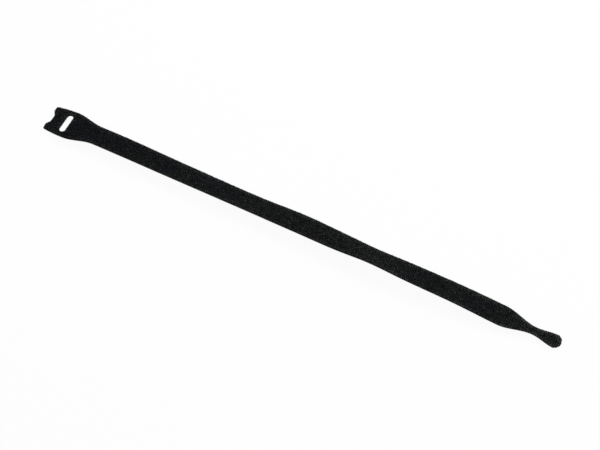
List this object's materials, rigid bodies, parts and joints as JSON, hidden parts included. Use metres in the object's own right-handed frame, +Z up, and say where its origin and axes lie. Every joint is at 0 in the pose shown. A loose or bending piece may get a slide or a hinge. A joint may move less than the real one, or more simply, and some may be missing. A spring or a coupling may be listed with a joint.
{
  "type": "hook-and-loop cable tie",
  "caption": "Black one-piece hook-and-loop cable tie: a long flat strap with a wider notched head, a cross slot, a tapered neck and a rounded pull tab, lying in a low arch.",
  "frame": {"origin": "middle of the bounding box's footprint, on the surface that the strap lies on", "axes": "+X along the strap from its head to its pull tab, +Y across it, +Z up from the hook side to the pile side"},
  "size_m": [0.3302, 0.0186, 0.0075],
  "materials": {
    "nylon_tape": "matt black loop pile with fine ribs across, moulded hooks on the underside"
  },
  "bodies": {
    "root": {"strap": "nylon_tape"}
  },
  "joints": []
}
